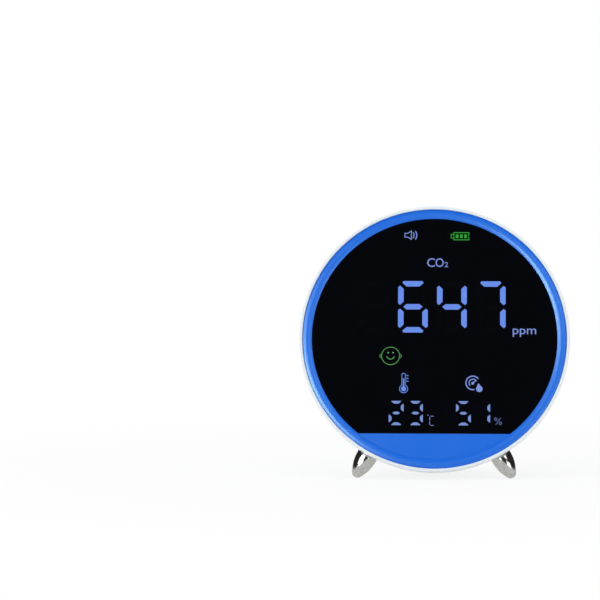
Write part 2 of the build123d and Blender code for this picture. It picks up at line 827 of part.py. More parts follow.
# ------------------------------------------------------------------ rear cover
# Back of the casing: concentric vent slots between spokes, key holes with
# guides, the USB pocket, sunk screw posts and the posts of the main board.
with BuildPart() as rear_cover:
    add(outer_form)
    add(inner_form, mode=Mode.SUBTRACT)
    split(bisect_by=at(parting_depth), keep=Keep.BOTTOM)
    tongue_radius = casing_radius(parting_depth, wall) - slip
    with BuildSketch(at(parting_depth + tongue_length)):
        Circle(tongue_radius)
        Circle(tongue_radius - tongue_wall, mode=Mode.SUBTRACT)
    extrude(amount=2 * tongue_length)
    with BuildSketch(at(cover_depth + slip)):
        with Locations(case_screw_places):
            Circle(case_post_radius)
    extrude(amount=cover_depth + slip - case_post_front)
    with BuildSketch(at(cover_depth + slip)):
        with Locations(main_posts):
            Circle(main_post_radius)
    extrude(amount=cover_depth + slip - main_board_back)
    with BuildSketch(at(cover_depth + slip)):
        with Locations([(x, key_rise) for x in key_places.values()]):
            Circle(key_radius + key_flange + glide + key_guide_wall)
    extrude(amount=key_guide_length)
    with BuildSketch(at(cover_depth + slip)):
        with Locations((0, usb_rise)):
            RectangleRounded(usb_pocket[0], usb_pocket[1], usb_pocket_corner)
    extrude(amount=usb_floor + usb_setback - wall + slip)
    add(outer_form, mode=Mode.INTERSECT)
    # screw recesses and holes
    with BuildSketch(at(body_depth)):
        with Locations(case_screw_places):
            Circle(case_head_radius + 2 * glide)
    extrude(amount=case_recess_depth, mode=Mode.SUBTRACT)
    with BuildSketch(at(body_depth)):
        with Locations(case_screw_places):
            Circle(case_screw_radius + screw_clearance)
    extrude(amount=body_depth - parting_depth + tongue_length, mode=Mode.SUBTRACT)
    with BuildSketch(at(main_board_front + main_screw_length)):
        with Locations(main_posts):
            Circle(main_screw_radius)
    extrude(amount=main_screw_length, mode=Mode.SUBTRACT)
    # keys
    with BuildSketch(at(cover_depth)):
        with Locations([(x, key_rise) for x in key_places.values()]):
            Circle(key_radius + key_flange + glide)
    extrude(amount=rear_gap, mode=Mode.SUBTRACT)
    with BuildSketch(at(body_depth)):
        with Locations([(x, key_rise) for x in key_places.values()]):
            Circle(key_radius + glide)
    extrude(amount=wall, mode=Mode.SUBTRACT)
    # USB pocket and mouth
    with BuildSketch(at(body_depth)):
        with Locations((0, usb_rise)):
            RectangleRounded(usb_pocket[0] - 2 * usb_metal, usb_pocket[1] - 2 * usb_metal,
                             usb_pocket_corner - usb_metal)
    extrude(amount=usb_setback, mode=Mode.SUBTRACT)
    with BuildSketch(at(body_depth)):
        with Locations((0, usb_rise)):
            RectangleRounded(usb_size[0] + 2 * glide, usb_size[1] + 2 * glide,
                             usb_corner + glide)
    extrude(amount=2 * wall + usb_setback, mode=Mode.SUBTRACT)
    with BuildSketch(at(body_depth)):
        with Locations((0, vent_rise)):
            add(vent_slots)
    extrude(amount=wall, both=True, mode=Mode.SUBTRACT)
    chamfer(outer_edge_at(rear_cover, parting_depth), parting_groove)
save(rear_cover, "rear_cover")

vent_gauze = pin((0, vent_rise), vent_radius + gauze_margin, cover_depth - gauze_thickness,
                 cover_depth)
save(vent_gauze, "vent_gauze")

with BuildPart() as case_screws:
    with BuildSketch(at(case_head_depth)):
        with Locations(case_screw_places):
            Circle(case_screw_radius)
    extrude(amount=case_screw_length)
    with BuildSketch(at(case_head_depth + case_head_height)):
        with Locations(case_screw_places):
            Circle(case_head_radius)
    extrude(amount=case_head_height)
save(case_screws, "case_screws")

# ------------------------------------------------------------- legs and pad
with BuildPart() as left_leg:
    out = leg_direction(-1)
    origin = at(leg_depth).origin
    with BuildSketch(Plane(origin=origin, x_dir=face.z_dir, z_dir=face.z_dir.cross(out))):
        with BuildLine():
            tip = (0, leg_surface + leg_nose_length)
            nose = [(leg_radius * cos(radians(a)), leg_surface + leg_nose_length * sin(radians(a)))
                    for a in (0, 30, 60)]
            Polyline(tip, (0, leg_root), (leg_radius, leg_root), nose[0])
            Spline(*nose, tip, tangents=[(0, 1), (-1, 0)])
        make_face()
    revolve(axis=Axis(origin, out))
    with BuildSketch(across_leg(-1, leg_root)):
        Circle(leg_screw_radius)
    extrude(amount=leg_screw_reach, mode=Mode.SUBTRACT)
save(left_leg, "left_leg")

with BuildPart() as right_leg:
    mirror(left_leg.part, about=Plane.YZ)
save(right_leg, "right_leg")

with BuildPart() as leg_screws:
    for sign in (-1, 1):
        with BuildSketch(across_leg(sign, leg_boss_start)):
            Circle(leg_screw_radius)
        extrude(amount=leg_root - leg_boss_start + leg_screw_reach)
        with BuildSketch(across_leg(sign, leg_boss_start - leg_head_height)):
            Circle(leg_head_radius)
        extrude(amount=leg_head_height)
save(leg_screws, "leg_screws")

# Rubber pad under the rear edge, shaped to the casing above it
with BuildPart() as rear_foot:
    joint_y = rim_y + parting_depth * lean_cos - casing_radius(parting_depth, 0) * lean_sin
    with BuildSketch(Plane.XY):
        with Locations((0, joint_y + foot_gap)):
            with Locations((0, foot_length / 2)):
                RectangleRounded(foot_width, foot_length, foot_corner)
    extrude(amount=foot_length)
    chamfer(rear_foot.faces().sort_by(Axis.Z)[0].edges(), foot_round)
    add(outer_form, mode=Mode.SUBTRACT)
save(rear_foot, "rear_foot")

print(f"rim height {rim_height:.2f}, rim y {rim_y:.2f}")
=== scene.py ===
"""Round air quality monitor: finishes, lit display marks and studio.

Lengths in the drawing tables are millimetres on the monitor's face, measured
from the middle of its rim: x to the right, rise up along the leaning face.
Everything in the scene itself is in metres.
"""
import json
import math

import bmesh
import bpy
from mathutils import Matrix, Vector


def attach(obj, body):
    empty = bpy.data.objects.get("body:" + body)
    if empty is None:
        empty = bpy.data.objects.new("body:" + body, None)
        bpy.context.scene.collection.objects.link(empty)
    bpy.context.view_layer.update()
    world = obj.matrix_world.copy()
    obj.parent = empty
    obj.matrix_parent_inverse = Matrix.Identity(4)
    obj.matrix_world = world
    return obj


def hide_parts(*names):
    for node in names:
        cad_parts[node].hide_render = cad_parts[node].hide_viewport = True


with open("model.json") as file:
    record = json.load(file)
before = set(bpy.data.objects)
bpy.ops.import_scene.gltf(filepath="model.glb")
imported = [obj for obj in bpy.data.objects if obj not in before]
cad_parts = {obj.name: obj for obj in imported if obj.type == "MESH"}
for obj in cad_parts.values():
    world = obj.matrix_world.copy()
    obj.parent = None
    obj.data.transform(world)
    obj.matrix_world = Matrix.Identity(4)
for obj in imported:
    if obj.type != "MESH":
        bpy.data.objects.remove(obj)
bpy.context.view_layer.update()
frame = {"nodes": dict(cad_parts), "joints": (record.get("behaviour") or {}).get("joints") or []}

MM = 0.001
BODY = "monitor"
LENS_RADIUS = 49.8
LENS_DEPTH = 1.1                 # lens face behind the rim


# ------------------------------------------------------------------ places

def face_directions():
    """Up along the leaning face and straight out of it, from the keys' own axis."""
    into_keys = Vector(frame["joints"][0]["axis"]).normalized()
    out = into_keys if into_keys.y < 0 else -into_keys
    return out.cross(Vector((1, 0, 0))).normalized(), out


FACE_UP, FACE_OUT = face_directions()


def rim_centre():
    """Middle of the rim, found from the lens that sits just behind it."""
    corners = [vertex.co for vertex in frame["nodes"]["lens"].data.vertices]
    rise = max(corner.dot(FACE_UP) for corner in corners) - LENS_RADIUS * MM
    out = max(corner.dot(FACE_OUT) for corner in corners) + LENS_DEPTH * MM
    return FACE_UP * rise + FACE_OUT * out


RIM = rim_centre()
FACE = Matrix((
    (1, FACE_UP.x, FACE_OUT.x, RIM.x),
    (0, FACE_UP.y, FACE_OUT.y, RIM.y),
    (0, FACE_UP.z, FACE_OUT.z, RIM.z),
    (0, 0, 0, 1),
))


# --------------------------------------------------------------- materials

def tone(red, green, blue):
    """A colour given as screen values, turned into light values."""
    def light(value):
        value /= 255
        return value / 12.92 if value <= 0.04045 else ((value + 0.055) / 1.055) ** 2.4
    return (light(red), light(green), light(blue), 1.0)


def plain_finish(name, colour, roughness, metal=0.0, **more):
    """A finish with one shader; more holds the shader's other sockets by name."""
    finish = bpy.data.materials.new(name)
    finish.use_nodes = True
    shader = finish.node_tree.nodes["Principled BSDF"]
    shader.inputs["Base Color"].default_value = colour
    shader.inputs["Roughness"].default_value = roughness
    shader.inputs["Metallic"].default_value = metal
    for socket, value in more.items():
        shader.inputs[socket.replace("_", " ")].default_value = value
    finish.diffuse_color = colour
    return finish


def shader_of(finish):
    return finish.node_tree.nodes["Principled BSDF"]


NOISE_DETAIL = 3.0
NOISE_RANGE = (0.1, 0.9)         # what the noise seldom goes beyond
EDGE_BLEND = 0.3                 # mm either side of an edge over which a finish changes


def spread(finish, size_mm, stretch=(1, 1, 1)):
    """Soft noise of a given size in the object's own space."""
    nodes, links = finish.node_tree.nodes, finish.node_tree.links
    place = nodes.new("ShaderNodeTexCoord")
    scaled = nodes.new("ShaderNodeMapping")
    scaled.inputs["Scale"].default_value = stretch
    noise = nodes.new("ShaderNodeTexNoise")
    noise.inputs["Scale"].default_value = 1000 / size_mm
    noise.inputs["Detail"].default_value = NOISE_DETAIL
    links.new(place.outputs["Object"], scaled.inputs["Vector"])
    links.new(scaled.outputs["Vector"], noise.inputs["Vector"])
    return noise.outputs["Fac"]


def blend_tones(finish, socket, share, dark, light):
    """Gives a shader socket a colour between two tones, by the given share."""
    nodes, links = finish.node_tree.nodes, finish.node_tree.links
    blend = nodes.new("ShaderNodeMix")
    blend.data_type = "RGBA"
    blend.inputs[6].default_value = dark
    blend.inputs[7].default_value = light
    links.new(share, blend.inputs[0])
    links.new(blend.outputs[2], shader_of(finish).inputs[socket])


def mottle(finish, size_mm, dark, light, socket="Base Color"):
    """Colour drifting between two close tones."""
    blend_tones(finish, socket, spread(finish, size_mm), dark, light)


def handled(finish, size_mm, smooth, dull):
    """Roughness that varies, as on a surface that was moulded and then touched."""
    nodes, links = finish.node_tree.nodes, finish.node_tree.links
    level = nodes.new("ShaderNodeMapRange")
    level.inputs["From Min"].default_value = NOISE_RANGE[0]
    level.inputs["From Max"].default_value = NOISE_RANGE[1]
    level.inputs["To Min"].default_value = smooth
    level.inputs["To Max"].default_value = dull
    links.new(spread(finish, size_mm), level.inputs["Value"])
    links.new(level.outputs["Result"], shader_of(finish).inputs["Roughness"])


def grain(finish, size_mm, depth_mm, stretch=(1, 1, 1)):
    """Fine relief."""
    nodes, links = finish.node_tree.nodes, finish.node_tree.links
    bump = nodes.new("ShaderNodeBump")
    bump.inputs["Distance"].default_value = depth_mm * MM
    bump.inputs["Strength"].default_value = 1.0
    links.new(spread(finish, size_mm, stretch), bump.inputs["Height"])
    links.new(bump.outputs["Normal"], shader_of(finish).inputs["Normal"])


def duller_beyond(finish, radius_mm, extra):
    """More roughness farther than radius_mm from the rim's middle."""
    nodes, links = finish.node_tree.nodes, finish.node_tree.links
    place = nodes.new("ShaderNodeTexCoord")
    reach = nodes.new("ShaderNodeVectorMath")
    reach.operation = "DISTANCE"
    links.new(place.outputs["Object"], reach.inputs[0])
    reach.inputs[1].default_value = RIM
    edge = nodes.new("ShaderNodeMapRange")
    edge.inputs["From Min"].default_value = (radius_mm - EDGE_BLEND) * MM
    edge.inputs["From Max"].default_value = (radius_mm + EDGE_BLEND) * MM
    edge.inputs["To Min"].default_value = 0.0
    edge.inputs["To Max"].default_value = extra
    links.new(reach.outputs["Value"], edge.inputs["Value"])
    total = nodes.new("ShaderNodeMath")
    total.operation = "ADD"
    roughness = shader_of(finish).inputs["Roughness"]
    links.new(roughness.links[0].from_socket, total.inputs[0])
    links.new(edge.outputs["Result"], total.inputs[1])
    links.new(total.outputs[0], roughness)


def white_casing():
    """Glossy moulded ABS of the bowl and the rear cover."""
    finish = plain_finish("white_casing_plastic", tone(238, 245, 249), 0.3,
                          Coat_Weight=0.12, Coat_Roughness=0.14)
    mottle(finish, 70, tone(236, 243, 247), tone(240, 247, 251))
    handled(finish, 40, 0.26, 0.35)
    grain(finish, 0.7, 0.0012)
    return finish


def blue_bezel():
    """Glossy blue of the ring and chin, coloured right through."""
    finish = plain_finish("blue_bezel_plastic", tone(4, 104, 226), 0.24,
                          Specular_Tint=(0.68, 1.0, 0.8, 1.0))
    mottle(finish, 40, tone(2, 102, 224), tone(6, 106, 228))
    handled(finish, 20, 0.22, 0.27)
    duller_beyond(finish, LENS_RADIUS, 0.05)
    grain(finish, 0.5, 0.0008)
    return finish


def smoked_window():
    """Black tinted acrylic, polished, with the faintest smears."""
    finish = plain_finish("smoked_acrylic", tone(3, 4, 8), 0.06, IOR=1.49)
    mottle(finish, 25, tone(2, 3, 7), tone(4, 5, 10))
    handled(finish, 14, 0.04, 0.10)
    grain(finish, 20, 0.004)
    return finish


def satin_chrome():
    """Bright nickel-chrome of the legs, with fine turning marks along them."""
    finish = plain_finish("satin_chrome", tone(178, 178, 174), 0.1, metal=1.0)
    mottle(finish, 1.2, tone(146, 147, 142), tone(204, 204, 200))
    handled(finish, 2.5, 0.07, 0.2)
    grain(finish, 0.5, 0.0012, stretch=(1, 1, 0.4))
    return finish


def moulded_black():
    finish = plain_finish("black_moulding", tone(20, 21, 23), 0.45)
    mottle(finish, 8, tone(16, 17, 19), tone(26, 27, 29))
    handled(finish, 6, 0.38, 0.55)
    grain(finish, 0.8, 0.006)
    return finish


def clear_rubber():
    """Soft translucent pad."""
    finish = plain_finish("clear_rubber", tone(232, 234, 232), 0.42, Transmission_Weight=0.35,
                          IOR=1.41, Subsurface_Weight=0.5, Subsurface_Scale=0.003)
    mottle(finish, 5, tone(226, 229, 227), tone(238, 240, 238))
    handled(finish, 3, 0.36, 0.52)
    grain(finish, 0.9, 0.01)
    return finish


def zinc_steel(name="zinc_screw_steel", colour=(188, 190, 194)):
    finish = plain_finish(name, tone(*colour), 0.28, metal=1.0)
    mottle(finish, 1.5, tone(*[c - 12 for c in colour]), tone(*[c + 8 for c in colour]))
    handled(finish, 1.2, 0.2, 0.42)
    grain(finish, 0.3, 0.003)
    return finish


GAUZE_SCALE = 320                # of the wave that makes the wires
GAUZE_DEPTH = 0.15               # mm


def wire_gauze():
    """Fine black mesh behind the vent."""
    finish = plain_finish("black_wire_gauze", tone(26, 27, 28), 0.5, metal=0.3)
    nodes, links = finish.node_tree.nodes, finish.node_tree.links
    place = nodes.new("ShaderNodeTexCoord")
    heights = []
    for direction in ("X", "Z"):
        wires = nodes.new("ShaderNodeTexWave")
        wires.bands_direction = direction
        wires.inputs["Scale"].default_value = GAUZE_SCALE
        links.new(place.outputs["Object"], wires.inputs["Vector"])
        heights.append(wires.outputs["Fac"])
    weave = nodes.new("ShaderNodeMath")
    weave.operation = "MAXIMUM"
    links.new(heights[0], weave.inputs[0])
    links.new(heights[1], weave.inputs[1])
    blend_tones(finish, "Base Color", weave.outputs["Value"], tone(5, 5, 6), tone(52, 53, 55))
    bump = nodes.new("ShaderNodeBump")
    bump.inputs["Distance"].default_value = GAUZE_DEPTH * MM
    links.new(weave.outputs["Value"], bump.inputs["Height"])
    links.new(bump.outputs["Normal"], shader_of(finish).inputs["Normal"])
    return finish


def board_green():
    """Solder mask with the copper plane's faint cloudiness."""
    finish = plain_finish("green_solder_mask", tone(20, 84, 48), 0.32)
    mottle(finish, 3, tone(14, 70, 40), tone(28, 96, 56))
    handled(finish, 4, 0.26, 0.42)
    grain(finish, 1.0, 0.01)
    return finish


def dyed(name, colour, roughness, size_mm, metal=0.0):
    """Any small inner part: its colour, drift, handling and fine relief."""
    finish = plain_finish(name, tone(*colour), roughness, metal=metal)
    mottle(finish, size_mm, tone(*[max(c - 10, 0) for c in colour]),
           tone(*[min(c + 8, 255) for c in colour]))
    handled(finish, size_mm, roughness * 0.85, roughness * 1.2)
    grain(finish, size_mm / 6, 0.005)
    return finish


def lit_mark(name, colour):
    """Light coming through the smoked lens, a little uneven as from small lamps."""
    finish = plain_finish(name, tone(0, 0, 0), 0.07, IOR=1.49, Emission_Strength=1.0)
    mottle(finish, 2.2, tone(*[max(c - 9, 0) for c in colour]),
           tone(*[min(c + 7, 255) for c in colour]), "Emission Color")
    return finish


def unlit_bar():
    """A dark bar of the figures, barely lighter than the lens round it."""
    finish = plain_finish("unlit_segment", tone(4, 6, 10), 0.07, IOR=1.49)
    mottle(finish, 2.2, tone(3, 5, 9), tone(6, 7, 11))
    handled(finish, 14, 0.04, 0.10)
    return finish


# ------------------------------------------------------------ piece making

WELD_DISTANCE = 2e-6             # metres, far below the finest edge
CREASE_ANGLE = 28                # degrees, sharper edges stay crisp
FLAT_FACE_WEIGHT = 60            # how much the large faces lead the shading


def add_piece(bm, name, finish, body=BODY):
    """Makes a bmesh drawn in metres a piece that rides on a body."""
    mesh = bpy.data.meshes.new(name)
    bm.to_mesh(mesh)
    bm.free()
    piece = bpy.data.objects.new(name, mesh)
    bpy.context.scene.collection.objects.link(piece)
    mesh.materials.append(finish)
    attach(piece, body)
    return piece


def smooth_piece(node, name, finish, body=BODY):
    """A smoothly shaded copy of a CAD node, which it stands for."""
    bm = bmesh.new()
    bm.from_mesh(frame["nodes"][node].data)
    bmesh.ops.remove_doubles(bm, verts=bm.verts, dist=WELD_DISTANCE)
    for face in bm.faces:
        face.smooth = True
    for edge in bm.edges:
        edge.smooth = edge.is_manifold and edge.calc_face_angle() < math.radians(CREASE_ANGLE)
    piece = add_piece(bm, name, finish, body)
    even = piece.modifiers.new("even_shading", "WEIGHTED_NORMAL")
    even.keep_sharp = True
    even.weight = FLAT_FACE_WEIGHT
    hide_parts(node)


def dress(node, finish):
    """Gives a CAD node that stays its finish."""
    slots = frame["nodes"][node].data.materials
    slots.clear()
    slots.append(finish)


# --------------------------------------------------------- display drawing

MARK_PROUD = 0.05                # lit marks stand this far out of the lens
MARK_SUNK = 0.03                 # and reach this far into it
DARK_BAR_PROUD = 0.02
DARK_BAR_SHRINK = 0.1            # dark bars are this much narrower and shorter
ARC_STEP = 9                     # degrees of a curved stroke to a facet
DISC_SEGMENTS = 28
LETTER_STEPS = 6                 # steps of a letter's curve
SAME_POINT = 0.001               # corners of letters closer than this are one


def tile(bm, outline, turn=0.0, place=(0, 0)):
    """A flat face from a few corner points, turned in degrees and moved."""
    corners = [bm.verts.new((x, y, 0)) for x, y in outline]
    bm.faces.new(corners)
    bmesh.ops.rotate(bm, verts=corners, cent=(0, 0, 0),
                     matrix=Matrix.Rotation(math.radians(turn), 3, "Z"))
    bmesh.ops.translate(bm, verts=corners, vec=(place[0], place[1], 0))


def stroke(bm, start, end, width):
    """A straight stroke with square ends."""
    run = Vector(end) - Vector(start)
    middle = (Vector(end) + Vector(start)) / 2
    matrix = (Matrix.Translation((middle.x, middle.y, 0))
              @ Matrix.Rotation(math.atan2(run.y, run.x), 4, "Z")
              @ Matrix.Diagonal((run.length / 2, width / 2, 1, 1)))
    bmesh.ops.create_grid(bm, x_segments=1, y_segments=1, size=1, matrix=matrix)


def outline_strokes(bm, points, width, closed=True):
    """Strokes from point to point, lengthened a little so that corners close."""
    ends = list(zip(points, points[1:] + points[:1])) if closed else list(zip(points, points[1:]))
    for start, end in ends:
        along = (Vector(end) - Vector(start)).normalized() * width / 2
        stroke(bm, Vector(start) - along, Vector(end) + along, width)


def arc(bm, middle, radius, width, start, sweep):
    """A curved stroke: angles in degrees, counter-clockwise from the right."""
    turn = math.radians(start)
    across = Vector((math.cos(turn), math.sin(turn), 0))
    centre = Vector((middle[0], middle[1], 0))
    ends = [bm.verts.new(centre + across * (radius + side * width / 2)) for side in (-1, 1)]
    edge = bm.edges.new(ends)
    full = abs(sweep) >= 360
    bmesh.ops.spin(bm, geom=[*ends, edge], cent=centre, axis=(0, 0, 1),
                   angle=math.radians(sweep), steps=max(4, int(abs(sweep) / ARC_STEP)),
                   use_merge=full, use_duplicate=False)


def disc(bm, middle, radius):
    bmesh.ops.create_circle(bm, cap_ends=True, segments=DISC_SEGMENTS, radius=radius,
                            matrix=Matrix.Translation((middle[0], middle[1], 0)))


def mark_piece(bm, name, finish, proud=MARK_PROUD):
    """Gives flat marks their thickness, lays them on the lens and adds them."""
    bmesh.ops.recalc_face_normals(bm, faces=bm.faces)
    for face in bm.faces:
        if face.normal.z < 0:
            face.normal_flip()
    lower = bm.faces[:]
    made = bmesh.ops.extrude_face_region(bm, geom=lower, use_keep_orig=True)["geom"]
    top = [part for part in made if isinstance(part, bmesh.types.BMVert)]
    bmesh.ops.translate(bm, verts=top, vec=(0, 0, MARK_SUNK + proud))
    bmesh.ops.translate(bm, verts=bm.verts, vec=(0, 0, -LENS_DEPTH - MARK_SUNK))
    bmesh.ops.recalc_face_normals(bm, faces=bm.faces)
    bmesh.ops.transform(bm, verts=bm.verts, matrix=FACE @ Matrix.Scale(MM, 4))
    add_piece(bm, name, finish)


# Seven-segment figures. Each bar is (outer edge, tip to tip, inner edge).
LARGE = dict(width=12.1, foot=2.45, height=21.4, stroke=2.25, bar=(7.7, 8.5, 5.2),
             middle=(5.3, 7.9, 5.3), post=(6.7, 8.0, 5.3), tip=0.8)
SMALL = dict(width=6.0, foot=-35.8, height=9.95, stroke=1.12, bar=(3.9, 4.0, 1.7),
             middle=(1.4, 3.1, 1.4), post=(3.0, 3.2, 1.4), tip=0.18)
SEGMENTS_ON = {"2": "abged", "3": "abgcd", "1": "bc", "5": "afgcd",
               "4": "fgbc", "6": "afgecd", "7": "abc"}


def segment(bm, figure, left, letter, shrink):
    """One bar of a seven-segment figure, named by its usual letter."""
    thick = figure["stroke"] - shrink
    half_height = (figure["height"] - figure["stroke"]) / 2
    mid_x = left + figure["width"] / 2
    mid_y = figure["foot"] + figure["height"] / 2
    side = (figure["width"] - figure["stroke"]) / 2
    kind, turn, place = {
        "a": ("bar", 0, (mid_x, mid_y + half_height)),
        "d": ("bar", 180, (mid_x, mid_y - half_height)),
        "g": ("middle", 0, (mid_x, mid_y)),
        "f": ("post", 90, (mid_x - side, mid_y + half_height / 2)),
        "e": ("post", 90, (mid_x - side, mid_y - half_height / 2)),
        "b": ("post", -90, (mid_x + side, mid_y + half_height / 2)),
        "c": ("post", -90, (mid_x + side, mid_y - half_height / 2)),
    }[letter]
    outer, tips, inner = (length - shrink for length in figure[kind])
    drop = thick / 2 if kind == "middle" else figure["tip"]
    tile(bm, [(outer / 2, thick / 2), (-outer / 2, thick / 2), (-tips / 2, thick / 2 - drop),
              (-inner / 2, -thick / 2), (inner / 2, -thick / 2), (tips / 2, thick / 2 - drop)],
         turn, place)


# Left edges of the places in each row, and what the rows read.
LARGE_LEFTS = (-30.7, -14.87, 0.98, 16.78)
SMALL_LEFTS = (-18.4, -10.62, 8.8, 16.6)
GAS_READING = " 647"
ROOM_READING = "2351"


def figures(reading, figure, lefts, lit=True):
    """The lit, or the unlit, bars of one row of figures."""
    bm = bmesh.new()
    for character, left in zip(reading, lefts):
        on = SEGMENTS_ON.get(character, "")
        for letter in "abcdefg":
            if (letter in on) == lit:
                segment(bm, figure, left, letter, 0.0 if lit else DARK_BAR_SHRINK)
    return bm


def speaker_mark():
    bm = bmesh.new()
    outline_strokes(bm, [(-12.25, 43.82), (-11.07, 43.82), (-9.6, 44.8),
                         (-9.6, 41.3), (-11.07, 42.22), (-12.25, 42.22)], 0.32)
    arc(bm, (-10.4, 43.02), 1.9, 0.36, -42, 84)
    arc(bm, (-10.4, 43.02), 3.0, 0.4, -36, 72)
    return bm


def battery_mark():
    bm = bmesh.new()
    outline_strokes(bm, [(13.9, 43.37), (13.9, 44.17), (7.8, 44.17), (7.8, 41.17), (13.9, 41.17),
                         (13.9, 41.97)], 0.34, closed=False)
    outline_strokes(bm, [(7.6, 43.46), (6.65, 43.46), (6.65, 41.88), (7.6, 41.88)], 0.3,
                    closed=False)
    stroke(bm, (13.55, 43.15), (14.0, 42.93), 0.26)
    stroke(bm, (13.55, 42.19), (14.0, 42.41), 0.26)
    return bm


def battery_bars():
    bm = bmesh.new()
    for left in (8.55, 10.25, 11.95):
        stroke(bm, (left, 42.67), (left + 1.1, 42.67), 1.55)
    return bm


def face_mark(middle):
    """Plain outline face with two round ears: the comfort sign."""
    x, y = middle
    bm = bmesh.new()
    arc(bm, middle, 3.65, 0.15, 0, 360)
    for side, start in ((-1, 95), (1, -85)):
        arc(bm, (x + side * 3.75, y), 0.62, 0.16, start, 170)
    disc(bm, (x - 1.0, y + 1.35), 0.27)
    disc(bm, (x + 1.0, y + 1.35), 0.27)
    arc(bm, (x, y + 0.25), 1.6, 0.18, -165, 150)
    return bm


def thermometer_mark():
    bm = bmesh.new()
    x, bulb, neck = -12.45, -20.85, -15.2
    wall, half, bulb_radius = 0.27, 0.74, 1.65
    arc(bm, (x, neck), half, wall, 0, 180)
    shoulder = bulb + math.sqrt(bulb_radius ** 2 - half ** 2)
    for side in (-1, 1):
        stroke(bm, (x + side * half, neck), (x + side * half, shoulder), wall)
    opening = math.degrees(math.asin(half / bulb_radius))
    arc(bm, (x, bulb), bulb_radius, wall, 90 + opening, 360 - 2 * opening)
    disc(bm, (x, bulb), 1.02)
    stroke(bm, (x, bulb), (x, neck - 1.4), 0.62)
    for drop in (0.2, 1.35, 2.5):
        stroke(bm, (x + 1.15, neck - drop), (x + 1.95, neck - drop), 0.34)
    return bm


def humidity_mark():
    bm = bmesh.new()
    middle = (15.6, -18.3)
    arc(bm, middle, 2.8, 0.46, 38, 245)
    arc(bm, middle, 1.55, 0.4, 25, 200)
    disc(bm, (15.55, -18.45), 0.58)
    stroke(bm, (15.55, -18.45), (16.65, -17.35), 0.38)
    drop, tip = Vector((18.2, -20.75)), Vector((17.85, -18.5))
    disc(bm, drop, 1.32)
    tile(bm, [(drop.x - 1.2, drop.y + 0.5), (drop.x + 1.28, drop.y + 0.3), (tip.x + 0.1, tip.y),
              (tip.x - 0.1, tip.y)])
    return bm


def celsius_mark():
    """Degree dot and a C built from four short bars, as the display has it."""
    bm = bmesh.new()
    disc(bm, (-2.5, -31.7), 0.2)
    for start, end in (((-1.5, -32.1), (-0.25, -32.1)), ((-1.85, -32.4), (-1.85, -33.8)),
                       ((-1.85, -34.2), (-1.85, -35.6)), ((-1.5, -35.85), (-0.25, -35.85))):
        stroke(bm, start, end, 0.24)
    return bm


def percent_mark():
    bm = bmesh.new()
    stroke(bm, (24.85, -35.5), (26.8, -32.65), 0.15)
    arc(bm, (24.85, -33.2), 0.52, 0.14, 0, 360)
    arc(bm, (26.75, -34.9), 0.52, 0.14, 0, 360)
    return bm


def lettering(signs):
    """Signs in a plain sans face, each fitted to (text, left, foot, width, height)."""
    bm = bmesh.new()
    for text, left, foot, width, height in signs:
        curve = bpy.data.curves.new("unit_sign_curve", "FONT")
        curve.body = text
        curve.resolution_u = LETTER_STEPS
        writing = bpy.data.objects.new("unit_sign_curve", curve)
        bpy.context.scene.collection.objects.link(writing)
        bpy.context.view_layer.update()
        mesh = bpy.data.meshes.new_from_object(writing)
        start = len(bm.verts)
        bm.from_mesh(mesh)
        bm.verts.ensure_lookup_table()
        added = bm.verts[start:]
        low = Vector([min(vertex.co[axis] for vertex in added) for axis in (0, 1)])
        high = Vector([max(vertex.co[axis] for vertex in added) for axis in (0, 1)])
        bmesh.ops.translate(bm, verts=added, vec=(-low.x, -low.y, 0))
        bmesh.ops.scale(bm, verts=added,
                        vec=(width / (high.x - low.x), height / (high.y - low.y), 1))
        bmesh.ops.translate(bm, verts=added, vec=(left, foot, 0))
        bpy.data.objects.remove(writing)
        bpy.data.curves.remove(curve)
        bpy.data.meshes.remove(mesh)
    bmesh.ops.remove_doubles(bm, verts=bm.verts, dist=SAME_POINT)
    return bm


# ------------------------------------------------------------- the monitor

def build_display():
    figure_blue = lit_mark("lit_figure_blue", (107, 143, 234))
    sign_blue = lit_mark("lit_sign_blue", (126, 149, 220))
    battery_green = lit_mark("lit_battery_green", (52, 156, 57))
    face_green = lit_mark("lit_face_green", (112, 204, 114))
    dark_bar = unlit_bar()
    mark_piece(figures(GAS_READING, LARGE, LARGE_LEFTS), "lit_main_figures", figure_blue)
    mark_piece(figures(ROOM_READING, SMALL, SMALL_LEFTS), "lit_small_figures",
               lit_mark("lit_small_figure_blue", (121, 147, 212)))
    mark_piece(figures(GAS_READING, LARGE, LARGE_LEFTS, lit=False), "unlit_main_bars",
               dark_bar, DARK_BAR_PROUD)
    mark_piece(figures(ROOM_READING, SMALL, SMALL_LEFTS, lit=False), "unlit_small_bars",
               dark_bar, DARK_BAR_PROUD)
    mark_piece(speaker_mark(), "lit_speaker_sign", sign_blue)
    mark_piece(battery_mark(), "lit_battery_outline", battery_green)
    mark_piece(battery_bars(), "lit_battery_bars", battery_green)
    mark_piece(face_mark((-17.8, -7.27)), "lit_comfort_face", face_green)
    mark_piece(thermometer_mark(), "lit_thermometer_sign", figure_blue)
    mark_piece(humidity_mark(), "lit_humidity_sign", sign_blue)
    mark_piece(celsius_mark(), "lit_celsius_sign", sign_blue)
    mark_piece(percent_mark(), "lit_percent_sign", sign_blue)
    mark_piece(lettering([("C", -3.1, 29.8, 3.2, 3.6), ("O", 0.35, 29.8, 3.3, 3.6),
                          ("2", 3.95, 29.75, 1.5, 2.1),
                          ("ppm", 31.75, 0.8, 9.5, 3.45)]), "lit_unit_signs", sign_blue)


